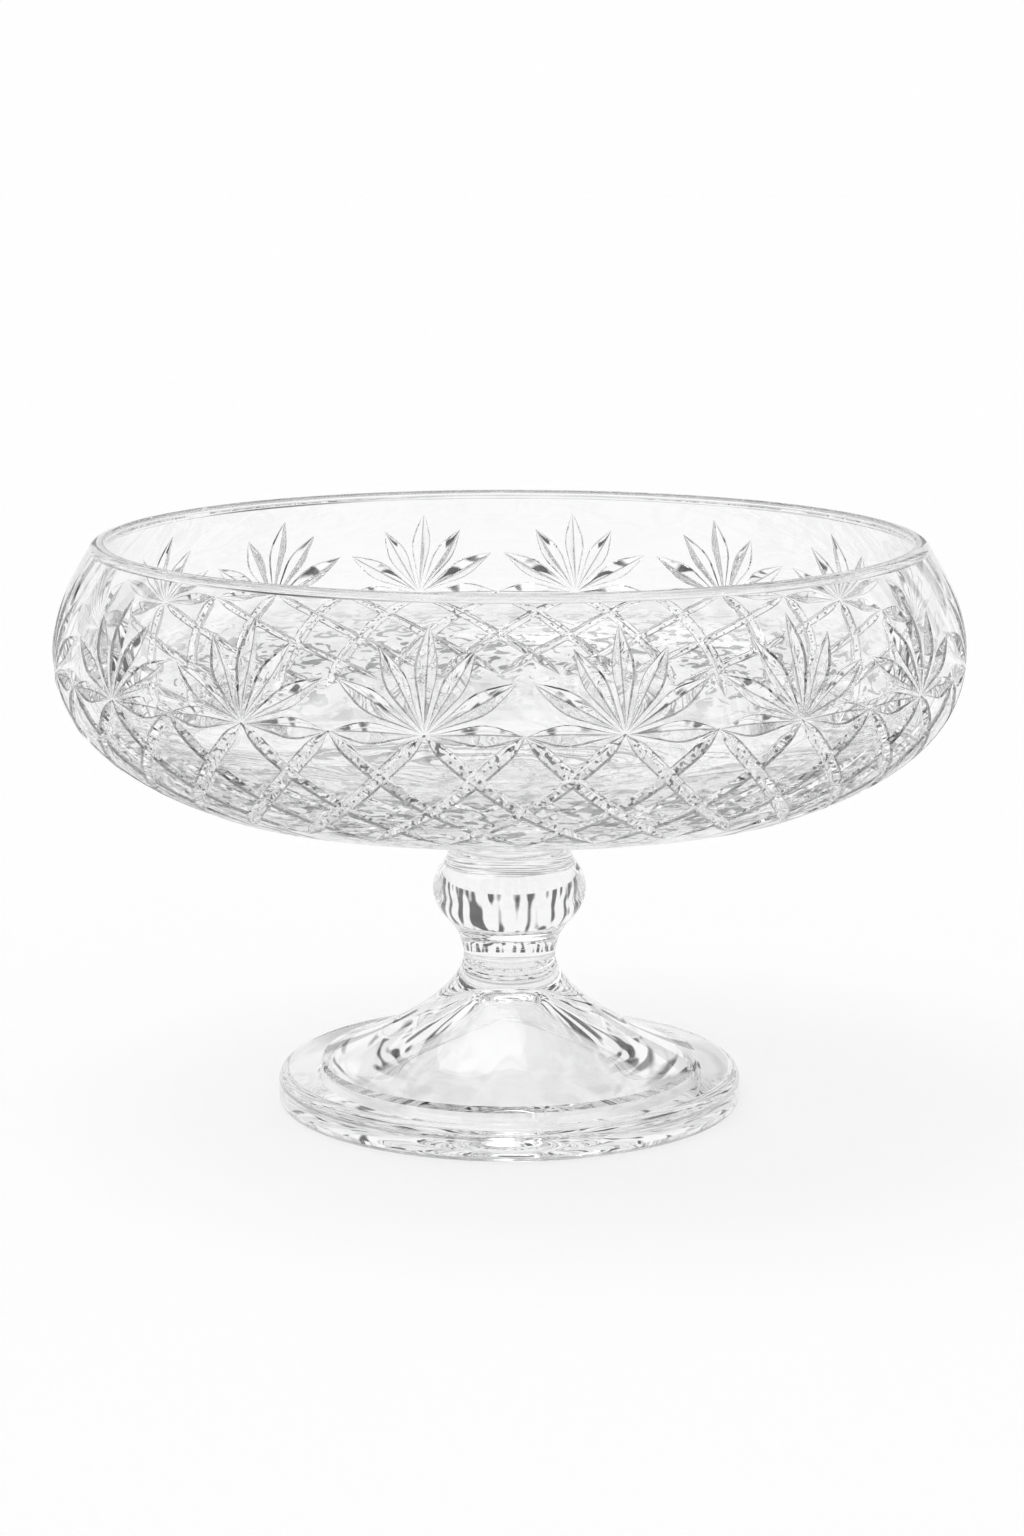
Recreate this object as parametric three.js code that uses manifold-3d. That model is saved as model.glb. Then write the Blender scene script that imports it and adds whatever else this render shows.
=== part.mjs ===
// Footed serving bowl in cut crystal: a cut bowl, a turned stem with a knop and a hollow spread foot,
// each a separate piece of glass, bonded to the next by a thin clear film between two ground seats.
// Sizes are in millimetres. Z is up, and z = 0 is the table that the foot rests on.

import * as THREE from 'three';
import { mergeVertices } from 'three/addons/utils/BufferGeometryUtils.js';
import ManifoldModule from 'manifold-3d';

// Bowl, with heights measured from its ground seat
const BOWL_HEIGHT = 83.7;
const RIM_DIAMETER = 232.8;
const WIDEST_DIAMETER = 254;
const WIDEST_HEIGHT = 52.7;
const HIP_DIAMETER = 176;
const HIP_HEIGHT = 12.2;
const BOWL_SEAT_DIAMETER = 35.6;
const LIP_THICKNESS = 4.2;
const WALL_AT_WIDEST = 5.2;
const FLOOR_THICKNESS = 10;
const FLOOR_HIP_DIAMETER = 152;
const FLOOR_HIP_HEIGHT = 17.7;

// How far each curve of the bowl holds its direction at its ends, and how steep it leaves there
const UNDER_RUN = 26;
const HIP_RUN = 20;
const HIP_SLOPE = 0.4;
const SIDE_RUN = 22;
const SHOULDER_RUN = 11;
const LIP_RUN = 8.4;
const LIP_SLOPE = 0.67;
const FLOOR_RUN = 22;
const FLOOR_SLOPE = 0.27;

// Cut pattern: fans on a line just under the widest line, and a lattice of diamonds below them
const FAN_COUNT = 16;
const FIRST_FAN_ANGLE = 13;
const FAN_LINE_DROP = 2.5;
const LEAVES_EACH_SIDE = 2;
const LEAF_STEP_ANGLE = 30;
const PLAIN_BAND = 6.8;
const SIDE_LEAF_SHORTER = 3.2;
const LEAF_DEPTH = 1.9;
const FAN_EYE = 1.4;
const LATTICE_DEPTH = 1.7;
const LATTICE_BANDS = 2;
const LATTICE_EYE = 0.8;
const CUT_HALF_ANGLE = 60;
const CUT_LIFT = 0.1;
const CUT_CLEAR = 3;

// Share of the full depth at shares of a cut's length: a leaf is fullest past its middle
const LEAF_STATIONS = [[0, 0], [0.42, 0.85], [0.76, 0.9], [1, 0]];
const LATTICE_STATIONS = [[0, 0], [0.5, 1], [1, 0]];

// Stem, with heights measured from its lower seat
const STEM_HEIGHT = 31.2;
const STEM_SEAT_DIAMETER = 27.6;
const STEM_SEAT_SLOPE = 0.28;
const STEM_WAIST_RUN = 6.4;
const KNOP_DIAMETER = 43.2;
const KNOP_HEIGHT = 14.9;
const KNOP_RUN = 7;
const COLLAR_DIAMETER = 34.8;
const COLLAR_HEIGHT = 26.5;
const COLLAR_RUN = 4.5;

// Foot, with heights measured from the table
const FOOT_HEIGHT = 46;
const NECK_DIAMETER = 26;
const NECK_HEIGHT = 42;
const NECK_RUN = 11;
const STEP_DIAMETER = 106.4;
const STEP_LEVEL = 12;
const STEP_HEIGHT = 1.7;
const STEP_DRAFT = 0.5;
const TRUMPET_RUN = 17;
const TRUMPET_SLOPE = 0.33;
const FOOT_DIAMETER = 131.6;
const FOOT_EDGE_HEIGHT = 9.5;
const FOOT_EDGE_ROUND = 3.4;
const FOOT_BASE_ROUND = 1.3;

// Hollow under the foot: a wide mouth, a waist, and a crown under the neck
const HOLLOW_DIAMETER = 108;
const HOLLOW_WAIST_DIAMETER = 62;
const HOLLOW_WAIST_HEIGHT = 8.5;
const HOLLOW_CROWN_DIAMETER = 18;
const HOLLOW_CROWN_HEIGHT = 25;
const HOLLOW_HEIGHT = 28.4;
const HOLLOW_RUN = 8;
const HOLLOW_SLOPE = 0.5;
const HOLLOW_STEEP = 1.1;

// Bond films, and the flats that stand for each turned round
const BOND_THICKNESS = 0.1;
const BOWL_FLATS = 3 * FAN_COUNT;
const STEM_FLATS = 32;
const FOOT_FLATS = 48;

const wasm = await ManifoldModule();
wasm.setup();

const DEGREE = Math.PI / 180;
const FAN_PITCH = 2 * Math.PI / FAN_COUNT;
const STEM_LEVEL = FOOT_HEIGHT + BOND_THICKNESS;
const BOWL_LEVEL = STEM_LEVEL + STEM_HEIGHT + BOND_THICKNESS;

// A smooth run of a profile between two points, each with the point that its end heads for
function bend(start, heading, coming, end) {
  const corners = [start, heading, coming, end].map(([r, z]) => new THREE.Vector2(r, z));
  return new THREE.CubicBezierCurve(...corners);
}

// A rounded corner of a profile, from one angle to another about its centre
function rounding(r, z, radius, from, to, steps) {
  const arc = new THREE.EllipseCurve(r, z, radius, radius, from * DEGREE, to * DEGREE, to < from);
  return arc.getPoints(steps);
}

// Joins runs of profile points, with bare pairs as corners, into one outline without repeated points
function outlineOf(...runs) {
  const outline = [];
  for (const item of runs.flat()) {
    const point = item.isVector2 ? item : new THREE.Vector2(...item);
    const last = outline[outline.length - 1];
    if (!last || last.distanceTo(point) > 0.001) outline.push(point);
  }
  return outline;
}

// Turns an outline that starts and ends on the axis into a closed solid about Z
function turned(outline, flats, startAngle = 0) {
  const lathe = new THREE.LatheGeometry(outline, flats, startAngle).rotateX(Math.PI / 2);
  lathe.deleteAttribute('normal');
  lathe.deleteAttribute('uv');
  const solid = mergeVertices(lathe, 0.0005);
  const corners = solid.index.array;
  const faces = [];
  for (let i = 0; i < corners.length; i += 3) {
    const face = [corners[i], corners[i + 1], corners[i + 2]];
    if (new Set(face).size === 3) faces.push(...face);
  }
  solid.setIndex(faces);
  return solid;
}

function toManifold(geometry) {
  return new wasm.Manifold(new wasm.Mesh({
    numProp: 3,
    vertProperties: new Float32Array(geometry.attributes.position.array),
    triVerts: new Uint32Array(geometry.index.array),
  }));
}

function fromManifold(solid) {
  const mesh = solid.getMesh();
  const geometry = new THREE.BufferGeometry();
  geometry.setAttribute('position', new THREE.BufferAttribute(mesh.vertProperties, 3));
  geometry.setIndex(new THREE.BufferAttribute(mesh.triVerts, 1));
  return geometry;
}

// Outside of the bowl: under the hip, up the side to the widest line, and in over the shoulder to the lip
function bowlOutside() {
  const seat = BOWL_SEAT_DIAMETER / 2;
  const hip = HIP_DIAMETER / 2;
  const widest = WIDEST_DIAMETER / 2;
  const rim = RIM_DIAMETER / 2;
  const lip = BOWL_HEIGHT - LIP_THICKNESS / 2;
  const hipRise = HIP_RUN * HIP_SLOPE;
  return {
    under: bend([seat, 0], [seat + UNDER_RUN, 0], [hip - HIP_RUN, HIP_HEIGHT - hipRise], [hip, HIP_HEIGHT]),
    side: bend(
      [hip, HIP_HEIGHT],
      [hip + HIP_RUN, HIP_HEIGHT + hipRise],
      [widest, WIDEST_HEIGHT - SIDE_RUN],
      [widest, WIDEST_HEIGHT],
    ),
    shoulder: bend(
      [widest, WIDEST_HEIGHT],
      [widest, WIDEST_HEIGHT + SHOULDER_RUN],
      [rim + LIP_RUN * LIP_SLOPE, lip - LIP_RUN],
      [rim, lip],
    ),
  };
}

// The bowl before it is cut: a turned shell with a half-round lip
function bowlBlank() {
  const outside = bowlOutside();
  const lip = BOWL_HEIGHT - LIP_THICKNESS / 2;
  const rim = RIM_DIAMETER / 2 - LIP_THICKNESS;
  const widest = WIDEST_DIAMETER / 2 - WALL_AT_WIDEST;
  const hip = FLOOR_HIP_DIAMETER / 2;
  const floorRise = FLOOR_RUN * FLOOR_SLOPE;
  const shoulder = bend(
    [rim, lip],
    [rim + LIP_RUN * LIP_SLOPE, lip - LIP_RUN],
    [widest, WIDEST_HEIGHT + SHOULDER_RUN],
    [widest, WIDEST_HEIGHT],
  );
  const side = bend(
    [widest, WIDEST_HEIGHT],
    [widest, WIDEST_HEIGHT - SIDE_RUN],
    [hip + FLOOR_RUN, FLOOR_HIP_HEIGHT + floorRise],
    [hip, FLOOR_HIP_HEIGHT],
  );
  const floor = bend(
    [hip, FLOOR_HIP_HEIGHT],
    [hip - FLOOR_RUN, FLOOR_HIP_HEIGHT - floorRise],
    [FLOOR_RUN, FLOOR_THICKNESS],
    [0, FLOOR_THICKNESS],
  );
  return turned(outlineOf(
    [[0, 0]],
    outside.under.getPoints(2),
    outside.side.getPoints(5),
    outside.shoulder.getPoints(3),
    rounding(rim + LIP_THICKNESS / 2, lip, LIP_THICKNESS / 2, 0, 180, 4),
    shoulder.getPoints(3),
    side.getPoints(4),
    floor.getPoints(2),
  ), BOWL_FLATS, FIRST_FAN_ANGLE * DEGREE);
}

// The outer wall as a map for the cutter. An angle round the axis and a length along the wall, counted up
// from the widest line, give the point there and the ways out of, along and up the wall.
function wallMap() {
  const outside = bowlOutside();
  const sideLength = outside.side.getLength();
  return (angle, along) => {
    let curve = outside.shoulder;
    let share = along / curve.getLength();
    if (along < 0) {
      curve = outside.side;
      share = 1 + along / sideLength;
    }
    if (along < -sideLength) {
      curve = outside.under;
      share = 1 + (along + sideLength) / curve.getLength();
    }
    const spot = curve.getPointAt(share);
    const slope = curve.getTangentAt(share);
    const out = new THREE.Vector3(Math.sin(angle), -Math.cos(angle), 0);
    return {
      radius: spot.x,
      point: out.clone().multiplyScalar(spot.x).setZ(spot.y),
      normal: out.clone().multiplyScalar(slope.y).setZ(-slope.x),
      up: out.clone().multiplyScalar(slope.x).setZ(slope.y),
      across: new THREE.Vector3(Math.cos(angle), Math.sin(angle), 0),
    };
  };
}

// One cut of the mitre wheel: a wedge that follows the wall from one place to another. Its keel lies at the
// depth that each station gives, and rises just out of the glass at both ends.
function addWedge(tool, wall, from, to, depth, stations) {
  const spread = Math.tan(CUT_HALF_ANGLE * DEGREE);
  const first = tool.points.length / 3;
  for (const [share, fullness] of stations) {
    const angle = THREE.MathUtils.lerp(from.angle, to.angle, share);
    const along = THREE.MathUtils.lerp(from.along, to.along, share);
    const here = wall(angle, along);
    const run = here.across.clone().multiplyScalar((to.angle - from.angle) * here.radius);
    run.addScaledVector(here.up, to.along - from.along).normalize();
    const sideways = here.normal.clone().cross(run);
    const sunk = fullness > 0 ? depth * fullness : -CUT_LIFT;
    const halfWidth = (sunk + CUT_CLEAR) * spread;
    const keel = here.point.clone().addScaledVector(here.normal, -sunk);
    const top = here.point.clone().addScaledVector(here.normal, CUT_CLEAR);
    const left = top.clone().addScaledVector(sideways, halfWidth);
    const right = top.clone().addScaledVector(sideways, -halfWidth);
    for (const corner of [keel, left, right]) tool.points.push(...corner);
  }
  const last = first + 3 * (stations.length - 1);
  for (let ring = first; ring < last; ring += 3) {
    for (let k = 0; k < 3; k += 1) {
      const a = ring + k;
      const b = ring + (k + 1) % 3;
      tool.faces.push(a, b, a + 3, b, b + 3, a + 3);
    }
  }
  tool.faces.push(first, first + 2, first + 1, last, last + 1, last + 2);
}

// The same cut at every fan, as one tool
function ringOfWedges(wall, from, to, depth, stations) {
  const tool = { points: [], faces: [] };
  for (let fan = 0; fan < FAN_COUNT; fan += 1) {
    const turn = FIRST_FAN_ANGLE * DEGREE + fan * FAN_PITCH;
    const start = { angle: from.angle + turn, along: from.along };
    const end = { angle: to.angle + turn, along: to.along };
    addWedge(tool, wall, start, end, depth, stations);
  }
  const geometry = new THREE.BufferGeometry();
  geometry.setAttribute('position', new THREE.Float32BufferAttribute(tool.points, 3));
  geometry.setIndex(tool.faces);
  return toManifold(geometry);
}

// Tools for the fans: a tall leaf that stops at the plain band under the lip, shorter ones to each side of
// it, and a level one on each side along the fan line, which ends where it meets that of the next fan
function fanTools(wall) {
  const radius = wall(0, -FAN_LINE_DROP).radius;
  const tallest = bowlOutside().shoulder.getLength() - PLAIN_BAND + FAN_LINE_DROP;
  const tools = [];
  for (let step = -LEAVES_EACH_SIDE - 1; step <= LEAVES_EACH_SIDE + 1; step += 1) {
    const lean = step * LEAF_STEP_ANGLE * DEGREE;
    let length = step === 0 ? tallest : tallest - SIDE_LEAF_SHORTER;
    if (Math.abs(step) > LEAVES_EACH_SIDE) length = radius * FAN_PITCH / 2 - LATTICE_EYE;
    const place = (reach) => ({
      angle: reach * Math.sin(lean) / radius,
      along: reach * Math.cos(lean) - FAN_LINE_DROP,
    });
    tools.push(ringOfWedges(wall, place(FAN_EYE), place(length), LEAF_DEPTH, LEAF_STATIONS));
  }
  return tools;
}

// Tools for the diamonds: cuts at about 45 degrees that cross at their middles, in bands one below another
function latticeTools(wall) {
  const tools = [];
  let top = -FAN_LINE_DROP;
  for (let band = 0; band < LATTICE_BANDS; band += 1) {
    const middle = top - wall(0, top).radius * FAN_PITCH / 4;
    const bottom = middle - wall(0, middle).radius * FAN_PITCH / 4;
    const eye = LATTICE_EYE / (top - bottom);
    for (const start of [0, FAN_PITCH / 2]) {
      for (const way of [-1, 1]) {
        const place = (share) => ({
          angle: start + way * share * FAN_PITCH / 2,
          along: THREE.MathUtils.lerp(top, bottom, share),
        });
        tools.push(ringOfWedges(wall, place(eye), place(1 - eye), LATTICE_DEPTH, LATTICE_STATIONS));
      }
    }
    top = bottom;
  }
  return tools;
}

function makeBowl() {
  const wall = wallMap();
  let bowl = toManifold(bowlBlank());
  for (const tool of [...fanTools(wall), ...latticeTools(wall)]) bowl = bowl.subtract(tool);
  return fromManifold(bowl).translate(0, 0, BOWL_LEVEL);
}

// Stem: a waist that grows out of the foot's neck, a round knop, and a collar under the bowl's seat
function makeStem() {
  const low = STEM_SEAT_DIAMETER / 2;
  const knop = KNOP_DIAMETER / 2;
  const collar = COLLAR_DIAMETER / 2;
  const seat = BOWL_SEAT_DIAMETER / 2;
  const waist = bend(
    [low, 0],
    [low + STEM_WAIST_RUN * STEM_SEAT_SLOPE, STEM_WAIST_RUN],
    [knop, KNOP_HEIGHT - KNOP_RUN],
    [knop, KNOP_HEIGHT],
  );
  const crown = bend(
    [knop, KNOP_HEIGHT],
    [knop, KNOP_HEIGHT + KNOP_RUN],
    [collar, COLLAR_HEIGHT - COLLAR_RUN],
    [collar, COLLAR_HEIGHT],
  );
  const outline = outlineOf(
    [[0, 0]],
    waist.getPoints(6),
    crown.getPoints(6),
    [[seat, STEM_HEIGHT], [0, STEM_HEIGHT]],
  );
  return turned(outline, STEM_FLATS).translate(0, 0, STEM_LEVEL);
}

// Foot: a neck that flares like a trumpet to a low step, a flat rim with a rounded edge, and a hollow below
function makeFoot() {
  const low = STEM_SEAT_DIAMETER / 2;
  const neck = NECK_DIAMETER / 2;
  const step = STEP_DIAMETER / 2;
  const edge = FOOT_DIAMETER / 2;
  const mouth = HOLLOW_DIAMETER / 2;
  const waist = HOLLOW_WAIST_DIAMETER / 2;
  const crown = HOLLOW_CROWN_DIAMETER / 2;
  const waistRise = HOLLOW_RUN * HOLLOW_SLOPE;
  const steepRise = HOLLOW_CROWN_HEIGHT - crown / 2 * HOLLOW_STEEP;
  const dome = bend([0, HOLLOW_HEIGHT], [crown / 3, HOLLOW_HEIGHT], [crown * 2 / 3, HOLLOW_HEIGHT],
    [crown, HOLLOW_CROWN_HEIGHT]);
  const funnel = bend(
    [crown, HOLLOW_CROWN_HEIGHT],
    [crown * 1.5, steepRise],
    [waist - HOLLOW_RUN, HOLLOW_WAIST_HEIGHT + waistRise],
    [waist, HOLLOW_WAIST_HEIGHT],
  );
  const skirt = bend(
    [waist, HOLLOW_WAIST_HEIGHT],
    [waist + HOLLOW_RUN, HOLLOW_WAIST_HEIGHT - waistRise],
    [mouth - HOLLOW_RUN, waistRise],
    [mouth, 0],
  );
  const trumpet = bend(
    [step, STEP_LEVEL],
    [step - TRUMPET_RUN, STEP_LEVEL + TRUMPET_RUN * TRUMPET_SLOPE],
    [neck, NECK_HEIGHT - NECK_RUN],
    [neck, NECK_HEIGHT],
  );
  const top = FOOT_HEIGHT - NECK_HEIGHT;
  const throat = bend([neck, NECK_HEIGHT], [neck, NECK_HEIGHT + top / 3],
    [low - top / 3 * STEM_SEAT_SLOPE, NECK_HEIGHT + top * 2 / 3], [low, FOOT_HEIGHT]);
  return turned(outlineOf(
    dome.getPoints(3),
    funnel.getPoints(4),
    skirt.getPoints(3),
    rounding(edge - FOOT_BASE_ROUND, FOOT_BASE_ROUND, FOOT_BASE_ROUND, -90, 0, 2),
    rounding(edge - FOOT_EDGE_ROUND, FOOT_EDGE_HEIGHT - FOOT_EDGE_ROUND, FOOT_EDGE_ROUND, 0, 90, 3),
    [[step + STEP_DRAFT, STEP_LEVEL - STEP_HEIGHT]],
    trumpet.getPoints(7),
    throat.getPoints(2),
    [[0, FOOT_HEIGHT]],
  ), FOOT_FLATS);
}

// Bond film: a clear disc that fills the joint between two ground seats
function makeBond(diameter, level) {
  const radius = diameter / 2;
  const outline = outlineOf([[0, 0], [radius, 0], [radius, BOND_THICKNESS], [0, BOND_THICKNESS]]);
  return turned(outline, STEM_FLATS).translate(0, 0, level);
}

function pieceOf(name, geometry, colour, roughness) {
  geometry.computeVertexNormals();
  const material = new THREE.MeshStandardMaterial({ color: colour, roughness, metalness: 0 });
  const mesh = new THREE.Mesh(geometry, material);
  mesh.name = name;
  return mesh;
}

const bowl = new THREE.Group();
bowl.add(
  pieceOf('cut_bowl', makeBowl(), 0xe9eef0, 0.04),
  pieceOf('bowl_bond', makeBond(BOWL_SEAT_DIAMETER, BOWL_LEVEL - BOND_THICKNESS), 0xf4f2ea, 0.2),
  pieceOf('knop_stem', makeStem(), 0xe6ecef, 0.05),
  pieceOf('foot_bond', makeBond(STEM_SEAT_DIAMETER, FOOT_HEIGHT), 0xf3f1e8, 0.2),
  pieceOf('spread_foot', makeFoot(), 0xe3eaee, 0.06),
);
export default bowl;
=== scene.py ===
# %% [markdown]
# # A footed bowl in cut crystal
# The bowl, the stem and the foot are turned rounds. The bowl is then cut with V-shaped grooves, as a glass
# cutter does on a wheel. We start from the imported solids, which fix every level and the outer box.

import math

import bmesh
import bpy
import numpy as np
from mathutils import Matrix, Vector


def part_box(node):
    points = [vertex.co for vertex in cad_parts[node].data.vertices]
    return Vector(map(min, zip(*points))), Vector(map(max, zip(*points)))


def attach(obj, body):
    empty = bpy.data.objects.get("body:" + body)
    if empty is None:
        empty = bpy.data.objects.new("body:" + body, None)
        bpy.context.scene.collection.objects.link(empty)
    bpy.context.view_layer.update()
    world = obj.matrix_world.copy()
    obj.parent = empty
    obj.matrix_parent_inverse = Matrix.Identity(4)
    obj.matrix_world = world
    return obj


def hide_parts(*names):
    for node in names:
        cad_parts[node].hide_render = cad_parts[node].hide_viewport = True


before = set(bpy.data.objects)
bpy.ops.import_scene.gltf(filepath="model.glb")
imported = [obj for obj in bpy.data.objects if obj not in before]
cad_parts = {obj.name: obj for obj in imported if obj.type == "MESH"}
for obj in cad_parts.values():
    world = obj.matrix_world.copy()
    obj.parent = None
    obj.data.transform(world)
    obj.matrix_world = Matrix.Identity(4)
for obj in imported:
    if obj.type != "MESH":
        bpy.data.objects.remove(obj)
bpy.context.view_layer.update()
MM = 0.001


def level(node, end):
    """Height of a node's lowest (0) or highest (1) point, in millimetres."""
    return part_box(node)[end].z / MM


FOOT_TOP = level("spread_foot", 1)
STEM_BASE = level("knop_stem", 0)
STEM_TOP = level("knop_stem", 1)
BOWL_BASE = level("cut_bowl", 0)
BOWL_TOP = level("cut_bowl", 1)
print("bowl from", round(BOWL_BASE, 2), "to", round(BOWL_TOP, 2), "mm")

# %% [markdown]
# A camera comes first, because everything is judged through it. The lens and the tilt were fitted to the
# ellipses of the rim and of the foot, so a turned form drawn in this frame falls on the photographed one.

# %% Camera
CAMERA_DISTANCE = 0.98648
CAMERA_HEIGHT = 0.28626
CAMERA_TILT = 10.953
SENSOR_WIDTH = 36
FOCAL_LENGTH = 83.64
SIDE_SHIFT = 0.0016

lens = bpy.data.cameras.new("camera")
lens.sensor_width = SENSOR_WIDTH
lens.lens = FOCAL_LENGTH
lens.shift_x = SIDE_SHIFT
lens.clip_start = 0.01
camera = bpy.data.objects.new("camera", lens)
camera.location = (0, -CAMERA_DISTANCE, CAMERA_HEIGHT)
camera.rotation_euler = (math.radians(90 - CAMERA_TILT), 0, 0)
scene = bpy.context.scene
scene.collection.objects.link(camera)
scene.camera = camera
scene.view_settings.view_transform = "Standard"
print("camera", round(CAMERA_DISTANCE, 3), "m away, looking", CAMERA_TILT, "degrees down")

# %% [markdown]
# A turned form is one outline carried round an axis. The outline is made of Bezier runs and round corners,
# written as radius and height in millimetres. The walk goes up the outside, over the top and back to the
# axis, so that every face looks outward.

# %% Tools for turned forms
SAME_POINT = 1e-4
AXIS_RADIUS = 1e-6


def bend(start, heading, coming, end, steps):
    """Points of a cubic Bezier run of an outline."""
    t = np.linspace(0, 1, steps + 1)[:, None]
    a, b, c, d = (np.array(p, float) for p in (start, heading, coming, end))
    return (1 - t) ** 3 * a + 3 * (1 - t) ** 2 * t * b + 3 * (1 - t) * t ** 2 * c + t ** 3 * d


def rounding(centre, radius, start, end, steps):
    """Points of a round corner between two angles in degrees."""
    t = np.radians(np.linspace(start, end, steps + 1))
    return np.stack([centre[0] + radius * np.cos(t), centre[1] + radius * np.sin(t)], 1)


def outline(*runs):
    """Joins runs of points and drops a point that repeats the one before it."""
    points = np.concatenate([np.array(run, float).reshape(-1, 2) for run in runs])
    gaps = np.hypot(*np.diff(points, axis=0).T)
    return points[np.concatenate([[True], gaps > SAME_POINT])]


def turned(name, points, sides):
    """A closed mesh: the outline, which starts and ends on the axis, carried round Z."""
    angles = np.arange(sides) * 2 * math.pi / sides
    ring = np.stack([np.sin(angles), -np.cos(angles)], 1)
    verts, rows, faces = [], [], []
    for r, z in points:
        rows.append(len(verts))
        turns = ring if r > AXIS_RADIUS else ring[:1]
        verts += [(r * x * MM, r * y * MM, z * MM) for x, y in turns]
    for i in range(len(points) - 1):
        low, high = rows[i], rows[i + 1]
        low_step = int(points[i][0] > AXIS_RADIUS)
        high_step = int(points[i + 1][0] > AXIS_RADIUS)
        for k in range(sides):
            n = (k + 1) % sides
            corners = [low + k * low_step, low + n * low_step, high + n * high_step, high + k * high_step]
            faces.append(tuple(dict.fromkeys(corners)))
    mesh = bpy.data.meshes.new(name)
    mesh.from_pydata(verts, [], faces)
    mesh.update()
    piece = bpy.data.objects.new(name, mesh)
    scene.collection.objects.link(piece)
    return piece


print("turning tools ready")

# %% [markdown]
# The bowl is blown into a mould. Its underside rises like a plain cone to the hip, its side swells to the
# widest line and draws in to the lip, and the inside follows with a wall that grows from the lip to the
# floor. A sphere could be pushed into shape, but an outline gives the exact curves. It is kept as runs,
# because the cutter needs the outside alone.

# %% Bowl blank
SIDE_PLAY = 0.02
TOP_PLAY = 0.01
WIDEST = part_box("cut_bowl")[1].x / MM - SIDE_PLAY
INNER = 121.8
SEAT = 17.8
HIP = 92
LIP_OUTSIDE = 116.4
LIP_INSIDE = 112.2
LIP_HEIGHT = 2.1
LIP_CORNER = 0.5
BOWL_SIDES = 288


def up(height):
    """A height that is counted from the seat of the bowl."""
    return BOWL_BASE + height


top_z = BOWL_TOP - TOP_PLAY
lip_z = top_z - LIP_HEIGHT
belly_z = up(52.7)
corner_r = LIP_INSIDE + LIP_CORNER
side = bend((88, up(12.2)), (108, up(20.2)), (WIDEST, up(30.7)), (WIDEST, belly_z), 52)
side = side[side[:, 0] > HIP]
under = bend((SEAT, up(0)), (40, up(4.1)), (76, up(10.5)), side[0], 16)
shoulder = bend((WIDEST, belly_z), (WIDEST, up(63.7)), (122, lip_z - 8.4), (LIP_OUTSIDE, lip_z), 30)
lip = bend((LIP_OUTSIDE, lip_z), (LIP_OUTSIDE, lip_z + 1.3), (114.8, top_z), (corner_r, top_z), 12)
lip_corner = rounding((corner_r, top_z - LIP_CORNER), LIP_CORNER, 90, 180, 5)
in_shoulder = bend((LIP_INSIDE, lip_z), (117.8, lip_z - 8.4), (INNER, up(63.7)), (INNER, belly_z), 30)
in_side = bend((INNER, belly_z), (INNER, up(30.7)), (98, up(23.6)), (76, up(17.7)), 32)
floor_run = bend((76, up(17.7)), (54, up(11.8)), (22, up(10)), (0, up(10)), 12)
outside = outline([(0, up(0))], under, side, shoulder, lip)
bowl = turned("bowl", outline(outside, lip_corner, in_shoulder, in_side, floor_run), BOWL_SIDES)
inside_from = BOWL_SIDES * len(outside)
print("bowl blank:", len(bowl.data.polygons), "faces, widest", round(2 * WIDEST, 2), "mm")

# %% [markdown]
# The cutter works on the outer wall, so places on it are given by an angle round the axis and a length
# along the wall, counted up from the widest line. With such a map, a cut is a straight line between two
# places, whatever the wall does under it.

# %% Map of the outer wall
SLOPE_REACH = 0.4
wall_low = outline(under, side)[::-1]
wall_high = shoulder
run_low = np.concatenate([[0], np.cumsum(np.hypot(*np.diff(wall_low, axis=0).T))])
run_high = np.concatenate([[0], np.cumsum(np.hypot(*np.diff(wall_high, axis=0).T))])
wall_run = np.concatenate([-run_low[:0:-1], run_high])
wall_points = np.concatenate([wall_low[:0:-1], wall_high])


def wall_at(along):
    """Radius and height of the outer wall at a length along it."""
    return [float(np.interp(along, wall_run, wall_points[:, k])) for k in (0, 1)]


def on_wall(angle, along):
    """Point, outward normal, sideways and upward directions, and radius at a place on the outer wall."""
    r, z = wall_at(along)
    before = wall_at(along - SLOPE_REACH)
    after = wall_at(along + SLOPE_REACH)
    slope = Vector((after[0] - before[0], after[1] - before[1])).normalized()
    out = Vector((math.sin(angle), -math.cos(angle), 0))
    sideways = Vector((math.cos(angle), math.sin(angle), 0))
    normal = out * slope.y - Vector((0, 0, slope.x))
    upward = out * slope.x + Vector((0, 0, slope.y))
    return out * r + Vector((0, 0, z)), normal, sideways, upward, r


print("wall is", round(float(wall_run[-1] - wall_run[0]), 1), "mm long from seat to lip")

# %% [markdown]
# A cutting wheel leaves an easy V in the glass. Where the V meets the wall, polishing leaves a narrow steep
# edge, the arris. A bevel could be added after cutting, but it fails where cuts cross, so the edge is part of
# the cutter's cross-section. A cutter is a row of such sections along the wall. Its strips for the arris and
# for the rib of a leaf are marked on the faces, so that they get a dark grey finish of their own: painted
# shade, for the fine dark line round every cut.

# %% Cutters
KEEL_SLOPE = math.tan(math.radians(31))
FLANK_SLOPE = math.tan(math.radians(22))
EDGE_SLOPE = math.tan(math.radians(55))
EDGE_WIDTH = 0.45
EDGE_SHARE = 0.22
RIB_WIDTH = 0.2
LEAST_DEPTH = 0.02
CLEARANCE = 1.2
OVERRUN = 0.03
END_LIFT = 0.12
EDGE_STRIPS = (1, 8)
RIB_STRIPS = (4, 5)


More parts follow.
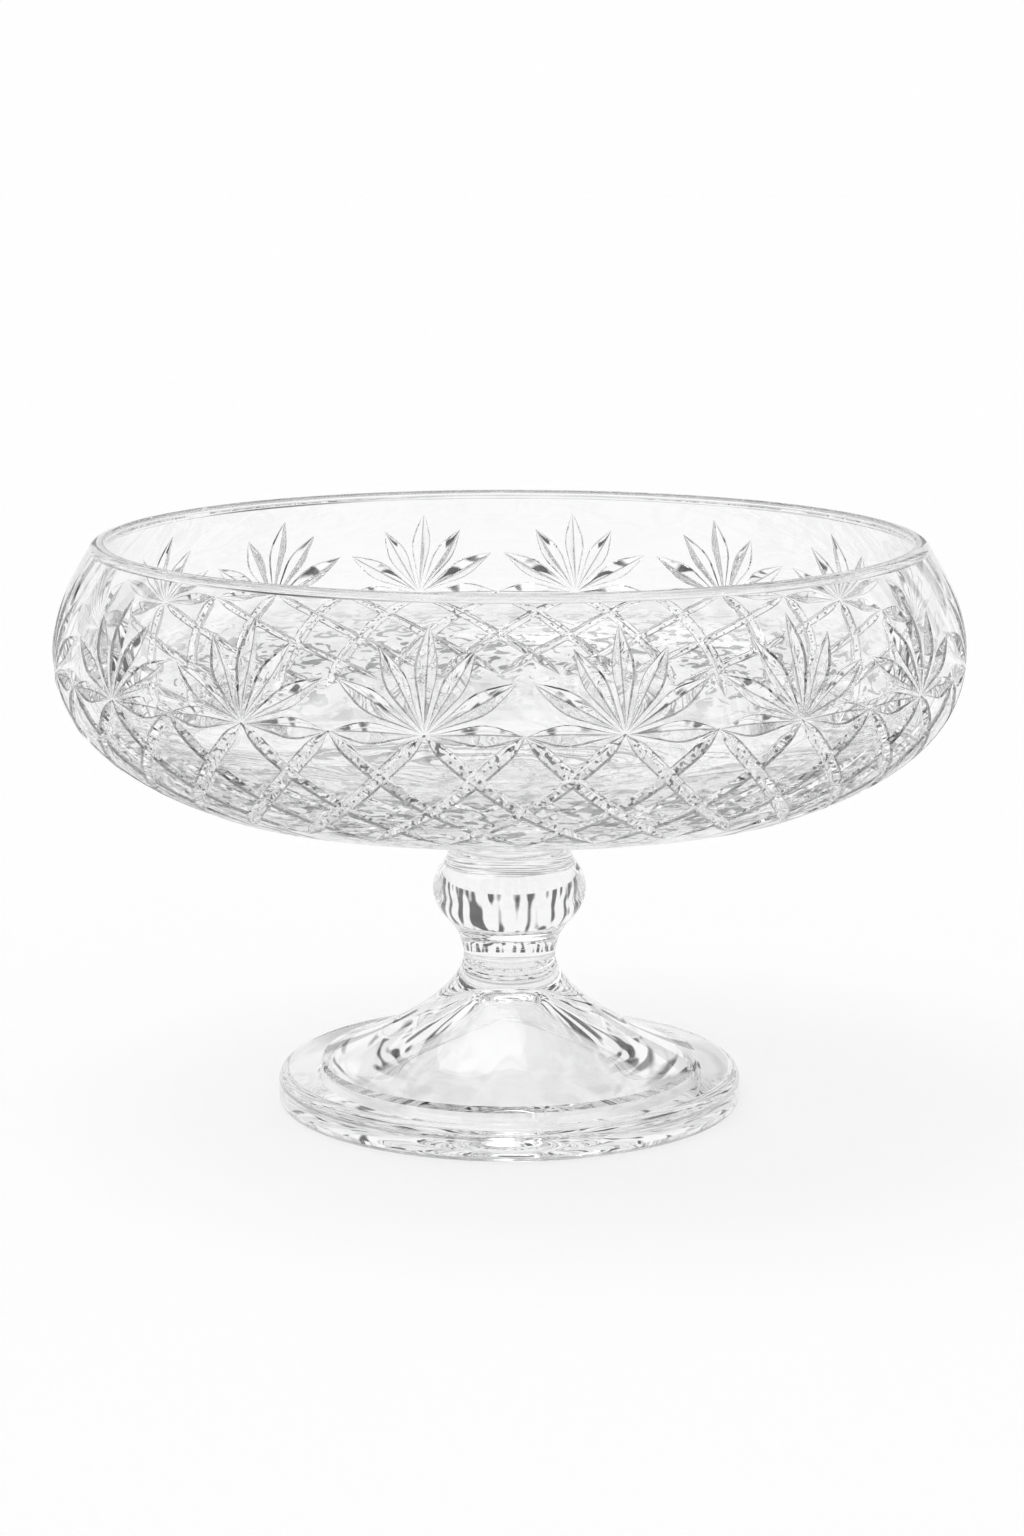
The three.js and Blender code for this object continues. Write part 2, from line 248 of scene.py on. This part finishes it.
def groove(sunk):
    """Offsets across and down of a cutter: an easy V with a steep edge on each side, and clear above."""
    deep = max(sunk, LEAST_DEPTH)
    easy = (KEEL_SLOPE + FLANK_SLOPE) / 2
    half = max(deep / (EDGE_SHARE * EDGE_SLOPE + (1 - EDGE_SHARE) * easy),
               (deep - EDGE_WIDTH * (EDGE_SLOPE - easy)) / easy)
    edge = min(EDGE_WIDTH, EDGE_SHARE * half)
    inner = half - edge
    rib = min(RIB_WIDTH, inner / 5)
    flank = [(0, sunk), (rib, sunk - rib * KEEL_SLOPE), (inner / 2, sunk - inner / 2 * KEEL_SLOPE),
             (inner, sunk - inner * easy), (half, sunk - deep), (half + CLEARANCE, sunk - deep - CLEARANCE)]
    return [(-x, down) for x, down in flank[:0:-1]] + flank


def wedge(name, start, end, depth, profile, lined, steps):
    """A cutter that follows the wall between two places, as deep as its profile says."""
    shape = bmesh.new()
    arris_painted_shade = shape.faces.layers.bool.new("arris_painted_shade")
    rings = []
    for i in range(steps + 1):
        share = -OVERRUN + (1 + 2 * OVERRUN) * i / steps
        inside = min(max(share, 0), 1)
        sunk = depth * profile(inside)
        if i in (0, steps):
            sunk = -END_LIFT * depth
        angle = start[0] + (end[0] - start[0]) * share
        along = start[1] + (end[1] - start[1]) * share
        point, normal, sideways, upward, r = on_wall(angle, along)
        run = (sideways * (end[0] - start[0]) * r + upward * (end[1] - start[1])).normalized()
        across = normal.cross(run)
        section = [point + across * x - normal * down for x, down in groove(sunk)]
        rings.append([shape.verts.new(place * MM) for place in section])
    for a, b in zip(rings, rings[1:]):
        for k in range(len(a)):
            n = (k + 1) % len(a)
            shape.faces.new((a[k], a[n], b[n], b[k]))[arris_painted_shade] = k in lined
    shape.faces.new(rings[0][::-1])
    shape.faces.new(rings[-1])
    bmesh.ops.recalc_face_normals(shape, faces=shape.faces)
    mesh = bpy.data.meshes.new(name)
    shape.to_mesh(mesh)
    shape.free()
    tool = bpy.data.objects.new(name, mesh)
    scene.collection.objects.link(tool)
    return tool


print("a cut 1.4 mm deep is", round(2 * groove(1.4)[-2][0], 2), "mm wide")

# %% [markdown]
# Each fan has a tall leaf, two shorter ones on each side and a level one along the fan line. The leaves
# lean in steps of thirty degrees, swell past their middle and end in a point. Below the fan line, long
# even cuts cross at about forty-five degrees and leave diamonds. Each long cut is made in two lengths, so
# that it can follow the wall as the bowl narrows. One fan is drawn here and repeated later.

# %% Cutters for one fan
FANS = 16
PITCH = 2 * math.pi / FANS
FIRST_FAN = math.radians(13)
FAN_LINE = -2.5
LEAF_LEAN = math.radians(30)
LEAF_LENGTHS = (28, 25, 26.5)
LEVEL_GAP = 0.4
LEAF_DEPTH = 1.9
LEAF_EYE = 0.6
LEAF_SKEW = 1.3
LEAF_STEPS = 18
MITRE_DEPTH = 1.4
MITRE_EASE = 0.15
MITRE_RUNOUT = 0.3
MITRE_STEPS = 14
fan_radius = on_wall(0, FAN_LINE)[4]


def leaf_profile(share):
    """A leaf is deepest past its middle and runs out at both ends."""
    return math.sin(math.pi * share ** LEAF_SKEW)


def mitre_start(share):
    """A long cut reaches its depth soon after the fan line and keeps it."""
    return min(1, share / MITRE_EASE)


def mitre_end(share):
    """The same cut goes on and runs out at its lower end."""
    return min(1, (1 - share) / MITRE_RUNOUT)


def from_fan(length, lean):
    """The place at a length from the fan's eye, leaning from upright."""
    return FIRST_FAN + length * math.sin(lean) / fan_radius, FAN_LINE + length * math.cos(lean)


tools = []
leaf_lengths = (*LEAF_LENGTHS, fan_radius * PITCH / 2 - LEVEL_GAP)
for step in range(-3, 4):
    lean = LEAF_LEAN * step
    eye = from_fan(LEAF_EYE, lean)
    tip = from_fan(leaf_lengths[abs(step)], lean)
    tools.append(wedge("leaf", eye, tip, LEAF_DEPTH, leaf_profile, EDGE_STRIPS + RIB_STRIPS, LEAF_STEPS))
top = FAN_LINE
for profile in (mitre_start, mitre_end):
    middle = top - on_wall(0, top)[4] * PITCH / 4
    bottom = middle - on_wall(0, middle)[4] * PITCH / 4
    for start in (0, PITCH / 2):
        for way in (-1, 1):
            a = (FIRST_FAN + start, top)
            b = (FIRST_FAN + start + way * PITCH / 2, bottom)
            tools.append(wedge("mitre", a, b, MITRE_DEPTH, profile, EDGE_STRIPS, MITRE_STEPS))
    top = bottom
print(len(tools), "cutters for each fan,", FANS, "fans")

# %% [markdown]
# Shaders and Geometry Nodes are graphs of nodes. A small class makes them read like sums: a wire is one
# output, and adding or multiplying wires adds a Math node. Any other node goes through one method.

# %% Wires and graphs
class Wire:
    """One output of a node, which can be used in sums."""

    def __init__(self, graph, socket):
        self.graph, self.socket = graph, socket

    def math(self, operation, *values):
        return self.graph.node("ShaderNodeMath", {"operation": operation}, dict(enumerate(values)))

    def __add__(self, other):
        return self.math("ADD", self, other)

    def __sub__(self, other):
        return self.math("SUBTRACT", self, other)

    def __rsub__(self, other):
        return self.math("SUBTRACT", other, self)

    def __mul__(self, other):
        return self.math("MULTIPLY", self, other)

    def __truediv__(self, other):
        return self.math("DIVIDE", self, other)

    __radd__, __rmul__ = __add__, __mul__

    def clamped(self):
        """The wire held between 0 and 1."""
        return self.graph.node("ShaderNodeClamp", {}, {"Value": self})


class Graph:
    """A node tree that is filled in by calls."""

    def __init__(self, tree):
        self.tree = tree
        tree.nodes.clear()

    def node(self, kind, settings=None, sockets=None, output=0):
        """Adds a node, sets it up, feeds its sockets and gives one output as a wire."""
        made = self.tree.nodes.new(kind)
        for name, value in (settings or {}).items():
            setattr(made, name, value)
        for name, value in (sockets or {}).items():
            if isinstance(value, Wire):
                self.tree.links.new(value.socket, made.inputs[name])
            else:
                made.inputs[name].default_value = value
        return Wire(self, made.outputs[output]) if made.outputs else made

    def more(self, wire, output):
        """Another output of the node that a wire comes from."""
        return Wire(self, wire.socket.node.outputs[output])


def new_material(name):
    """An empty material and its graph."""
    material = bpy.data.materials.new(name)
    material.use_nodes = True
    return material, Graph(material.node_tree)


def grey(value):
    """A neutral colour."""
    return (value, value, value, 1)


print("graph tools ready")

# %% [markdown]
# Lead crystal bends light strongly, so the glass is a Principled shader with full transmission and an index
# of 1.54. The tint goes into Base Color, which glass takes up at each crossing. A blown surface is a little
# wavy and a polished cut is flatter. The arris gets a dark grey tint, painted shade for the fine dark line
# that a rounded edge shows. The long cuts get small dark specks, painted shade for the dark beads of light
# in the cuts. One function makes them all, with a slow drift in the tint, specks where they are asked for,
# and a ripple in a Bump node.

# %% Polished crystal
CRYSTAL_INDEX = 1.54
DRIFT_SCALE = 45
SPECK_SIZE = 1.2
SPECK_FROM, SPECK_EDGE = 0.62, 14
PAINTED_SPECK_SHADE = (0.08, 0.08, 0.082, 1)
CLEAR = (1.0, 1.0, 1.0)
CUT_TINT = (0.985, 0.987, 0.99)


def mixed(g, factor, first, second):
    """A colour between two colours."""
    return g.node("ShaderNodeMix", {"data_type": "RGBA"}, {0: factor, 6: first, 7: second}, output=2)


def end_in_glass(g, tint, bump, index=CRYSTAL_INDEX, rough=0.0):
    """Closes a graph with clear glass of a tint and a ripple."""
    shader = g.node("ShaderNodeBsdfPrincipled", {}, {
        "Base Color": tint, "Roughness": rough, "IOR": index, "Transmission Weight": 1.0, "Normal": bump})
    g.node("ShaderNodeOutputMaterial", {}, {"Surface": shader})


def finish_of(name, dark, pale, ripple, ripple_size, ripple_height,
              index=CRYSTAL_INDEX, rough=0.0, specked=False):
    """A clear glass whose tint drifts between two greys and whose surface carries a faint ripple."""
    material, g = new_material(name)
    place = g.node("ShaderNodeTexCoord", output=3)
    drift = g.node("ShaderNodeTexNoise", {}, {"Vector": place, "Scale": DRIFT_SCALE, "Detail": 2.0})
    wave = g.node("ShaderNodeTexNoise", {}, {"Vector": place, "Scale": 1 / (ripple_size * MM), "Detail": 1.0})
    tint = mixed(g, drift, (*dark, 1), (*pale, 1))
    # The specks are painted shade: small dark spots for the dark beads of light in the cuts.
    if specked:
        grain = g.node("ShaderNodeTexNoise", {}, {
            "Vector": place, "Scale": 1 / (SPECK_SIZE * MM), "Detail": 0.0})
        speck = ((grain - SPECK_FROM) * SPECK_EDGE).clamped()
        tint = mixed(g, speck, tint, PAINTED_SPECK_SHADE)
    bump = g.node("ShaderNodeBump", {}, {"Height": wave, "Strength": ripple, "Distance": ripple_height * MM})
    end_in_glass(g, tint, bump, index, rough)
    return material


blown = finish_of("crystal_polished", (0.95, 0.951, 0.953), (0.97, 0.97, 0.97), 0.5, 14, 0.06)
inside = finish_of("crystal_inside", (0.985, 0.986, 0.988), CLEAR, 0.5, 14, 0.06)
leaf_cut = finish_of("crystal_leaf", CUT_TINT, CLEAR, 0.5, 3, 0.025)
# The long cuts carry specks of painted shade.
long_cut = finish_of("crystal_mitre", CUT_TINT, CLEAR, 0.5, 3, 0.025, specked=True)
# The arris finish is painted shade: a dark grey tint for the fine dark line of a rounded edge.
arris_painted_shade = finish_of("crystal_arris", (0.2, 0.202, 0.206), (0.38, 0.38, 0.38), 0.6, 2.5, 0.03)
# The edge finish is painted shade: near-black lines on the rims of the lip and the foot.
painted_edge_shade = finish_of("crystal_edge_painted_shade", (0.02, 0.021, 0.023), CLEAR, 0.5, 6, 0.06)
print("finishes:", [m.name for m in (blown, inside, leaf_cut, long_cut, arris_painted_shade, painted_edge_shade)])

# %% [markdown]
# The outer wall is thick below the fan line. There its tint is painted shade: it turns grey with dark
# streaks, which stand for the grey and the dark reflections that light gathers on its many crossings. The
# grey sets in over a height of the wall, and stretched noise makes the streaks, which run like striae, the
# streaks that are left when molten glass is drawn out. The noise goes into the tint and, faintly, into the
# ripple.

# %% Wall of the bowl
CLEAR_TINT = (0.984, 0.985, 0.987, 1)
PAINTED_SHADE_TINT = (0.15, 0.152, 0.156, 1)
GREY_TOP, TOP_FADE = 121 * MM, 16 * MM
GREY_FOOT, FOOT_FADE = 90 * MM, 5 * MM
STRIA_STRETCH = (150, 150, 520)
STREAK_FROM, STREAK_EDGE = 0.535, 18.0
STREAK_SHARE = 0.9
WAVE_SCALE, WAVE_HEIGHT = 70.0, 0.06 * MM
STRIA_RIPPLE = 0.3

wall, g = new_material("crystal_wall")
place = g.node("ShaderNodeTexCoord", output=3)
height = g.more(g.node("ShaderNodeSeparateXYZ", {}, {0: place}), 2)
painted_shade_band = ((GREY_TOP - height) / TOP_FADE).clamped() * ((height - GREY_FOOT) / FOOT_FADE).clamped()
drawn = g.node("ShaderNodeVectorMath", {"operation": "MULTIPLY"}, {0: place, 1: STRIA_STRETCH})
striae_and_shade_noise = g.node("ShaderNodeTexNoise", {}, {"Vector": drawn, "Scale": 1.0, "Detail": 1.0, "Distortion": 1.4})
painted_streak = ((striae_and_shade_noise - STREAK_FROM) * STREAK_EDGE).clamped()
# Painted shade: the thick lower wall turns grey, with dark streaks.
tint = mixed(g, painted_shade_band * (painted_streak * STREAK_SHARE + (1 - STREAK_SHARE)), CLEAR_TINT, PAINTED_SHADE_TINT)
wave = g.node("ShaderNodeTexNoise", {}, {"Vector": place, "Scale": WAVE_SCALE, "Detail": 1.0})
bump = g.node("ShaderNodeBump", {}, {
    "Height": wave + striae_and_shade_noise * painted_shade_band * STRIA_RIPPLE, "Strength": 0.5, "Distance": WAVE_HEIGHT})
end_in_glass(g, tint, bump)
print("wall finish:", wall.name)

# %% [markdown]
# A bond joins two ground seats with clear adhesive of nearly the same index, so light goes straight through
# it. The two seats of a joint get a finish that bends nothing, so the pieces read as one body of glass, and
# only the thin rim of the film shows.

# %% Bonded faces
bonded, g = new_material("bonded_seat")
through = g.node("ShaderNodeBsdfTransparent", {}, {"Color": grey(1)})
g.node("ShaderNodeOutputMaterial", {}, {"Surface": through})
film = finish_of("clear_adhesive", (0.93, 0.94, 0.93), (0.96, 0.96, 0.95), 0.3, 1.5, 0.02,
                 index=1.5, rough=0.1)
print("bond finishes:", bonded.name, film.name)

# %% [markdown]
# The same cutters repeat at every fan, which is a job for Geometry Nodes: a loop in Python could copy them,
# but a tree keeps the count as one input. It sets a copy at each of a row of points on the axis, turned by
# its number, makes the copies real and gives them the finish of a cut. The marked strips get the arris
# finish, which is painted shade.

# %% Repeat the cutters round the axis
ring_tree = bpy.data.node_groups.new("round_the_axis", "GeometryNodeTree")
ring_tree.interface.new_socket("Geometry", in_out="INPUT", socket_type="NodeSocketGeometry")
count_socket = ring_tree.interface.new_socket("Count", in_out="INPUT", socket_type="NodeSocketInt")
finish_socket = ring_tree.interface.new_socket("Finish", in_out="INPUT", socket_type="NodeSocketMaterial")
edge_socket = ring_tree.interface.new_socket("Edge finish", in_out="INPUT", socket_type="NodeSocketMaterial")
ring_tree.interface.new_socket("Geometry", in_out="OUTPUT", socket_type="NodeSocketGeometry")
g = Graph(ring_tree)
given = g.node("NodeGroupInput")
count, finish, edge_finish = (g.more(given, k) for k in (1, 2, 3))
points = g.node("GeometryNodePoints", {}, {"Count": count})
number = g.node("GeometryNodeInputIndex")
spin = g.node("ShaderNodeCombineXYZ", {}, {"Z": number * (2 * math.pi) / count})
copies = g.node("GeometryNodeInstanceOnPoints", {}, {"Points": points, "Instance": given, "Rotation": spin})
real = g.node("GeometryNodeRealizeInstances", {}, {0: copies})
dressed = g.node("GeometryNodeSetMaterial", {}, {"Geometry": real, "Material": finish})
strip = g.node("GeometryNodeInputNamedAttribute", {"data_type": "BOOLEAN"}, {"Name": "arris_painted_shade"})
edged = g.node("GeometryNodeSetMaterial", {}, {
    "Geometry": dressed, "Selection": strip, "Material": edge_finish})
g.node("NodeGroupOutput", {}, {0: edged})


def plain_mesh(piece):
    """Replaces a piece's mesh by its modified form and drops the modifiers."""
    graph = bpy.context.evaluated_depsgraph_get()
    mesh = bpy.data.meshes.new_from_object(piece.evaluated_get(graph))
    piece.modifiers.clear()
    piece.data = mesh


for tool in tools:
    ring = tool.modifiers.new("ring", "NODES")
    ring.node_group = ring_tree
    ring[count_socket.identifier] = FANS
    ring[finish_socket.identifier] = long_cut if tool.name.startswith("mitre") else leaf_cut
    ring[edge_socket.identifier] = arris_painted_shade
for tool in tools:
    plain_mesh(tool)
print(sum(len(tool.data.polygons) for tool in tools), "faces on", len(tools), "ring tools")

# %% [markdown]
# Before cutting, the inside of the bowl gets its own finish, and the lip gets fine near-black lines where it
# leaves the wall and at its inner corner, painted shade for the dark edges of the lip. Cutting is a Boolean
# difference. The Manifold solver is fast and exact on closed meshes, so each ring of cutters is one
# modifier, and Transfer brings the finish of the cut along.

# %% Cut the bowl
def dress_bands(piece, finish, bands):
    """Gives a finish to the faces that lie between two radii and two heights, in millimetres."""
    piece.data.materials.append(finish)
    slot = len(piece.data.materials) - 1
    for face in piece.data.polygons:
        r, z = face.center.xy.length / MM, face.center.z / MM
        if any(near < r < far and low < z < high for near, far, low, high in bands):
            face.material_index = slot


LOWER_LINE = (116, 117, lip_z, lip_z + 0.3)
CORNER_LINE = (112, 113.5, top_z - LIP_CORNER, top_z + LIP_CORNER)
bowl.data.materials.append(wall)
bowl.data.materials.append(inside)
for number, face in enumerate(bowl.data.polygons):
    face.material_index = int(number >= inside_from)
dress_bands(bowl, painted_edge_shade, [LOWER_LINE, CORNER_LINE])
for tool in tools:
    cut = bowl.modifiers.new("cut", "BOOLEAN")
    cut.operation = "DIFFERENCE"
    cut.solver = "MANIFOLD"
    cut.material_mode = "TRANSFER"
    cut.object = tool
plain_mesh(bowl)
for tool in tools:
    bpy.data.objects.remove(tool)
print("cut bowl:", sum(len(f.vertices) - 2 for f in bowl.data.polygons), "triangles")
used = [face.material_index for face in bowl.data.polygons]
print("finishes on it:", [(m.name, used.count(k)) for k, m in enumerate(bowl.data.materials)])

# %% [markdown]
# Stem and foot are turned in the same way. The knop swells between a narrow waist and the collar under the
# bowl. The foot flares like a trumpet, has a low step and a rounded edge, and is hollow below. The bonds
# are two thin discs that fill the gaps between the seats.

# %% Stem, foot and bonds
NECK = 13.8
KNOP = 21.6
COLLAR = 17.4
STEM_SIDES = 160
FOOT_SIDES = 192
STEP_LINE = (53, 53.9, 10.3, 12)
UPPER_EDGE_LINE = (64.9, 66, 6.1, 7)
LOWER_EDGE_LINE = (65.3, 66, 0.5, 1.35)


def on_stem(height):
    """A height that is counted from the lower seat of the stem."""
    return STEM_BASE + height


waist = bend((NECK, on_stem(0)), (15.6, on_stem(6.4)), (KNOP, on_stem(7.9)), (KNOP, on_stem(14.9)), 28)
crown = bend((KNOP, on_stem(14.9)), (KNOP, on_stem(21.9)), (COLLAR, on_stem(22)), (COLLAR, on_stem(26.5)), 28)
collar = [(SEAT, STEM_TOP), (0, STEM_TOP)]
stem = turned("stem", outline([(0, STEM_BASE)], waist, crown, collar), STEM_SIDES)

dome = bend((0, 28.4), (3, 28.4), (6, 28.4), (9, 25), 12)
funnel = bend((9, 25), (13.5, 20.05), (23, 12.5), (31, 8.5), 24)
skirt = bend((31, 8.5), (39, 4.5), (46, 4), (54, 0), 20)
base_round = rounding((64.5, 1.3), 1.3, -90, 0, 6)
edge_round = rounding((62.4, 6.1), 3.4, 0, 90, 12)
step_foot = [(53.7, 10.3)]
trumpet = bend((53.2, 12), (36.2, 17.6), (13, 31), (13, 42), 48)
throat = bend((13, 42), (13, 43.3), (13.4, 44.7), (NECK, FOOT_TOP), 8)
hollow = outline(dome, funnel, skirt)
foot_line = outline(hollow, base_round, edge_round, step_foot, trumpet, throat, [(0, FOOT_TOP)])
foot = turned("foot", foot_line, FOOT_SIDES)
for piece in (stem, foot):
    piece.data.materials.append(blown)
# The step and the edges of the foot get near-black lines of painted shade.
dress_bands(foot, painted_edge_shade, [STEP_LINE, UPPER_EDGE_LINE, LOWER_EDGE_LINE])


def bond_disc(name, radius, low, high):
    """A disc of adhesive between two seats."""
    disc = turned(name, outline([(0, low), (radius, low), (radius, high), (0, high)]), STEM_SIDES)
    disc.data.materials.append(film)
    return disc


bowl_film = bond_disc("bowl_film", SEAT, STEM_TOP, BOWL_BASE)
foot_film = bond_disc("foot_film", NECK, FOOT_TOP, STEM_BASE)
print("stem", len(stem.data.polygons), "faces, foot", len(foot.data.polygons), "faces")

# %% [markdown]
# Seats are found by their height and their level faces, and get the bonded finish. Then each piece is
# shaded smooth, with the angle that tells a crease from a curve.

# %% Seats and creases
LEVEL_FACE = 0.999
SEAT_REACH = 1e-6
CUT_CREASE = 13
TURNED_CREASE = 25
FILM_CREASE = 30


def dress_seats(piece, heights, crease):
    """Gives the bonded finish to level faces at some heights, shades the piece and counts those faces."""
    piece.data.materials.append(bonded)
    slot = len(piece.data.materials) - 1
    count = 0
    for face in piece.data.polygons:
        for height in heights:
            if abs(face.normal.z) > LEVEL_FACE and abs(face.center.z - height * MM) < SEAT_REACH:
                face.material_index = slot
                count += 1
    piece.data.shade_smooth()
    piece.data.set_sharp_from_angle(angle=math.radians(crease))
    return count


seat_faces = [
    dress_seats(bowl, [BOWL_BASE], CUT_CREASE),
    dress_seats(stem, [STEM_BASE, STEM_TOP], TURNED_CREASE),
    dress_seats(foot, [FOOT_TOP], TURNED_CREASE),
    dress_seats(bowl_film, [STEM_TOP, BOWL_BASE], FILM_CREASE),
    dress_seats(foot_film, [FOOT_TOP, STEM_BASE], FILM_CREASE),
]
print("seat faces", seat_faces)

# %% [markdown]
# Clear glass has no colour of its own, so it shows what stands round it. The set is white paper under a
# broad light. The paper gives off most of its white itself and keeps the shadow in the rest, which holds it
# at one even tone.

# %% White floor
FLOOR_HALF = 8
FLOOR_Z = -0.0002
FLOOR_GREY = 0.3
FLOOR_GLOW = 0.744


def flat_sheet(name, half, z, finish):
    """A square sheet that lies flat at a height in metres and belongs to the stage."""
    mesh = bpy.data.meshes.new(name)
    corners = [(-half, -half, 0), (half, -half, 0), (half, half, 0), (-half, half, 0)]
    mesh.from_pydata(corners, [], [(0, 1, 2, 3)])
    mesh.materials.append(finish)
    sheet = bpy.data.objects.new(name, mesh)
    sheet.location.z = z
    scene.collection.objects.link(sheet)
    return sheet


paper, g = new_material("floor_white")
matt = g.node("ShaderNodeBsdfDiffuse", {}, {"Color": grey(FLOOR_GREY)})
glow = g.node("ShaderNodeEmission", {}, {"Color": grey(FLOOR_GLOW), "Strength": 1.0})
both = g.node("ShaderNodeAddShader", {}, {0: matt, 1: glow})
g.node("ShaderNodeOutputMaterial", {}, {"Surface": both})
flat_sheet("floor", FLOOR_HALF, FLOOR_Z, paper)
print("floor", 2 * FLOOR_HALF, "m wide")

# %% [markdown]
# In a white room alone, crystal fades away. Photographers set dark shapes round it, and each facet picks up
# a piece of them. Here the World is white with tall, soft dark shapes above the horizon, made by one noise
# on the direction of the ray. Cards could be modelled instead, but noise has no pattern that the eye would
# find. The shapes are denser near the horizon and high up. The camera itself sees plain white there.

# %% Surroundings
ROOM_WHITE = 0.992
ROOM_DARK = 0.1
SHAPE_SCALE = (13, 13, 1.4)
SHAPE_SHARE, SHAPE_EDGE = 0.475, 9.0
SHAPES_FROM, FROM_FADE = 1.8, 0.6
SHAPES_TO, TO_FADE = 70.0, 4.0
HIGH_FROM, HIGH_FADE, HIGH_MORE = 14.0, 20.0, 0.12
LOW_TO, LOW_FADE, LOW_MORE = 8.0, 3.0, 0.06

world = bpy.data.worlds.new("studio")
scene.world = world
world.use_nodes = True
g = Graph(world.node_tree)
way = g.node("ShaderNodeTexCoord", output=0)
height = g.more(g.node("ShaderNodeSeparateXYZ", {}, {0: way}), 2)
rise = height.math("ARCSINE", height) * (180 / math.pi)
scaled = g.node("ShaderNodeVectorMath", {"operation": "MULTIPLY"}, {0: way, 1: SHAPE_SCALE})
shapes = g.node("ShaderNodeTexNoise", {}, {"Vector": scaled, "Scale": 1.0, "Detail": 0.0})
above = ((rise - SHAPES_FROM) / FROM_FADE).clamped() * ((SHAPES_TO - rise) / TO_FADE).clamped()
high = ((rise - HIGH_FROM) / HIGH_FADE).clamped() * HIGH_MORE
low = ((LOW_TO - rise) / LOW_FADE).clamped() * LOW_MORE
share = SHAPE_SHARE + high + low
camera_ray = g.node("ShaderNodeLightPath")
dark = ((share - shapes) * SHAPE_EDGE).clamped() * above * (1 - camera_ray)
room = g.node("ShaderNodeBackground", {}, {"Color": ROOM_WHITE - dark * (ROOM_WHITE - ROOM_DARK)})
g.node("ShaderNodeOutputWorld", {}, {"Surface": room})
print("room between", ROOM_DARK, "and", ROOM_WHITE)

# %% [markdown]
# The lower wall looks down on the table, where cut glass throws bands of light and dark round itself. A
# path tracer needs very long to find such bands, so a sheet with dark wisps stands for them. It lies on the
# paper and only the glass sees it.

# %% Wisps on the floor
WISP_Z = -0.0001
WISP_GREY = 0.4
WISP_NEAR, NEAR_FADE = 0.115, 0.02
WISP_FAR, FAR_FADE = 0.32, 0.03
WISP_TURN, WISP_STEP = 2.6, 140
WISP_SHARE, WISP_EDGE = 0.5, 14.0
WISP_MARGIN = 0.01

veil, g = new_material("floor_wisps")
place = g.node("ShaderNodeTexCoord", output=3)
reach = g.node("ShaderNodeVectorMath", {"operation": "LENGTH"}, {0: place}, output=1)
heading = g.node("ShaderNodeVectorMath", {"operation": "NORMALIZE"}, {0: place})
east = g.node("ShaderNodeSeparateXYZ", {}, {0: heading})
north = g.more(east, 1)
spot = g.node("ShaderNodeCombineXYZ", {}, {0: east * WISP_TURN, 1: north * WISP_TURN, 2: reach * WISP_STEP})
noise = g.node("ShaderNodeTexNoise", {}, {"Vector": spot, "Scale": 1.0, "Detail": 0.0})
fade = ((reach - WISP_NEAR) / NEAR_FADE).clamped() * ((WISP_FAR - reach) / FAR_FADE).clamped()
wisp = ((WISP_SHARE - noise) * WISP_EDGE).clamped() * fade
bare = g.node("ShaderNodeBsdfTransparent")
dusk = g.node("ShaderNodeEmission", {}, {"Color": grey(WISP_GREY), "Strength": 1.0})
woven = g.node("ShaderNodeMixShader", {}, {0: wisp, 1: bare, 2: dusk})
g.node("ShaderNodeOutputMaterial", {}, {"Surface": woven})
wisps = flat_sheet("wisps", WISP_FAR + WISP_MARGIN, WISP_Z, veil)
wisps.visible_camera = False
wisps.visible_diffuse = False
wisps.visible_shadow = False
print("wisps from", WISP_NEAR, "to", WISP_FAR, "m")

# %% [markdown]
# A wide, weak Sun is the window at the upper left, and its size keeps the shadow soft. Light crosses many
# faces on its way through a cut bowl, so the limits on bounces go up, or the base would turn black.

# %% Window and bounces
WINDOW_WIDTH = math.radians(50)
WINDOW_ENERGY = 0.85
WINDOW_TURN = (math.radians(-4), math.radians(-18), 0)
BOUNCES = 64

lamp = bpy.data.lights.new("window", "SUN")
lamp.angle = WINDOW_WIDTH
lamp.energy = WINDOW_ENERGY
window = bpy.data.objects.new("window", lamp)
window.rotation_euler = WINDOW_TURN
scene.collection.objects.link(window)
scene.cycles.max_bounces = BOUNCES
scene.cycles.transmission_bounces = BOUNCES
scene.cycles.glossy_bounces = BOUNCES
scene.cycles.transparent_max_bounces = BOUNCES
print("window", WINDOW_ENERGY, "strong, up to", BOUNCES, "bounces")

# %% [markdown]
# Last, the table lists each piece with the solid that it stands for and the finish slot of the record; the
# slot is not read. Every piece is set on the body root, and the solid that it stands for is hidden.

# %% Tie the pieces to the imported part
ties = (
    (bowl, "cut_bowl", "crystal"),
    (stem, "knop_stem", "crystal"),
    (foot, "spread_foot", "crystal"),
    (bowl_film, "bowl_bond", "bond_film"),
    (foot_film, "foot_bond", "bond_film"),
)
for piece, node, slot in ties:
    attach(piece, "root")
    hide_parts(node)
